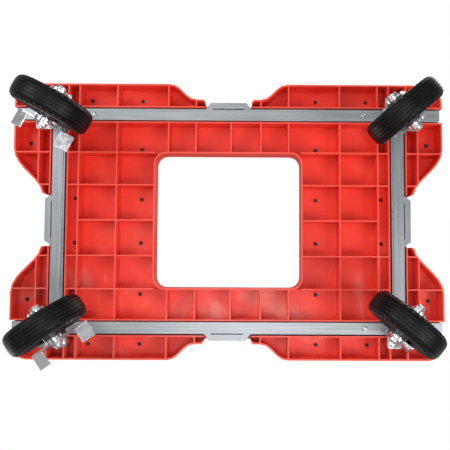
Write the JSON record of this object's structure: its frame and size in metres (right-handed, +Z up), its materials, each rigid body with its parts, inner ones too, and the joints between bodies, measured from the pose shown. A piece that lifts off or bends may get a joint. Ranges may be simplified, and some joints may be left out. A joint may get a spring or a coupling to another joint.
{
  "type": "furniture dolly",
  "caption": "Moulded plastic furniture dolly with a ribbed deck, a central opening, a steel lashing frame and swivel casters, two of them braked.",
  "frame": {"origin": "on the floor under the middle of the deck", "axes": "+X along the length towards the unbraked casters, +Y across the width towards the back, +Z up, wheels down"},
  "size_m": [0.813, 0.521, 0.235],
  "materials": {
    "deck_red": "semi-gloss moulded plastic with faint flow marks",
    "galvanised": "galvanised sheet steel, faintly streaked",
    "bright_zinc": "bright zinc plate",
    "wheel_rubber": "matt black rubber with fine ribs round the tread",
    "rim_grey": "dark grey, satin"
  },
  "bodies": {
    "frame": {"deck": "deck_red", "rail_front": "galvanised", "rail_back": "galvanised", "cross_rail_left": "galvanised", "cross_rail_right": "galvanised", "deck_screw_fl": "bright_zinc", "deck_screw_bl": "bright_zinc", "deck_screw_fr": "bright_zinc", "deck_screw_br": "bright_zinc", "caster_plate_fl": "bright_zinc", "kingpin_fl": "bright_zinc", "plate_bolt_fl_1": "bright_zinc", "plate_bolt_fl_2": "bright_zinc", "plate_bolt_fl_3": "bright_zinc", "plate_bolt_fl_4": "bright_zinc", "caster_plate_bl": "bright_zinc", "kingpin_bl": "bright_zinc", "plate_bolt_bl_1": "bright_zinc", "plate_bolt_bl_2": "bright_zinc", "plate_bolt_bl_3": "bright_zinc", "plate_bolt_bl_4": "bright_zinc", "caster_plate_fr": "bright_zinc", "kingpin_fr": "bright_zinc", "plate_bolt_fr_1": "bright_zinc", "plate_bolt_fr_2": "bright_zinc", "plate_bolt_fr_3": "bright_zinc", "plate_bolt_fr_4": "bright_zinc", "caster_plate_br": "bright_zinc", "kingpin_br": "bright_zinc", "plate_bolt_br_1": "bright_zinc", "plate_bolt_br_2": "bright_zinc", "plate_bolt_br_3": "bright_zinc", "plate_bolt_br_4": "bright_zinc"},
    "fork_fl": {"fork_fl": "bright_zinc", "axle_bolt_fl": "bright_zinc", "axle_nut_fl": "bright_zinc"},
    "wheel_fl": {"tyre_fl": "wheel_rubber", "rim_fl": "rim_grey", "wheel_bearing_fl": "bright_zinc"},
    "lever_fl": {"brake_lever_fl": "bright_zinc"},
    "fork_bl": {"fork_bl": "bright_zinc", "axle_bolt_bl": "bright_zinc", "axle_nut_bl": "bright_zinc"},
    "wheel_bl": {"tyre_bl": "wheel_rubber", "rim_bl": "rim_grey", "wheel_bearing_bl": "bright_zinc"},
    "lever_bl": {"brake_lever_bl": "bright_zinc"},
    "fork_fr": {"fork_fr": "bright_zinc", "axle_bolt_fr": "bright_zinc", "axle_nut_fr": "bright_zinc"},
    "wheel_fr": {"tyre_fr": "wheel_rubber", "rim_fr": "rim_grey", "wheel_bearing_fr": "bright_zinc"},
    "fork_br": {"fork_br": "bright_zinc", "axle_bolt_br": "bright_zinc", "axle_nut_br": "bright_zinc"},
    "wheel_br": {"tyre_br": "wheel_rubber", "rim_br": "rim_grey", "wheel_bearing_br": "bright_zinc"}
  },
  "joints": [
    {"name": "swivel_fl", "type": "hinge", "parent": "frame", "child": "fork_fl", "pos_m": [-0.33, -0.204, 0.18], "axis": [0, 0, 1], "continuous": true},
    {"name": "wheel_spin_fl", "type": "hinge", "parent": "fork_fl", "child": "wheel_fl", "pos_m": [-0.29645, -0.18616, 0.07], "axis": [-0.4695, 0.8829, 0], "continuous": true},
    {"name": "brake_fl", "type": "hinge", "parent": "fork_fl", "child": "lever_fl", "pos_m": [-0.29645, -0.18616, 0.07], "axis": [-0.4695, 0.8829, 0], "range_deg": [0, 18]},
    {"name": "swivel_bl", "type": "hinge", "parent": "frame", "child": "fork_bl", "pos_m": [-0.33, 0.204, 0.18], "axis": [0, 0, 1], "continuous": true},
    {"name": "wheel_spin_bl", "type": "hinge", "parent": "fork_bl", "child": "wheel_bl", "pos_m": [-0.2985, 0.18275, 0.07], "axis": [0.5592, 0.829, 0], "continuous": true},
    {"name": "brake_bl", "type": "hinge", "parent": "fork_bl", "child": "lever_bl", "pos_m": [-0.2985, 0.18275, 0.07], "axis": [0.5592, 0.829, 0], "range_deg": [0, 18]},
    {"name": "swivel_fr", "type": "hinge", "parent": "frame", "child": "fork_fr", "pos_m": [0.33, -0.204, 0.18], "axis": [0, 0, 1], "continuous": true},
    {"name": "wheel_spin_fr", "type": "hinge", "parent": "fork_fr", "child": "wheel_fr", "pos_m": [0.30089, -0.17957, 0.07], "axis": [-0.6428, -0.766, 0], "continuous": true},
    {"name": "swivel_br", "type": "hinge", "parent": "frame", "child": "fork_br", "pos_m": [0.33, 0.204, 0.18], "axis": [0, 0, 1], "continuous": true},
    {"name": "wheel_spin_br", "type": "hinge", "parent": "fork_br", "child": "wheel_br", "pos_m": [0.30089, 0.17957, 0.07], "axis": [0.6428, -0.766, 0], "continuous": true}
  ]
}
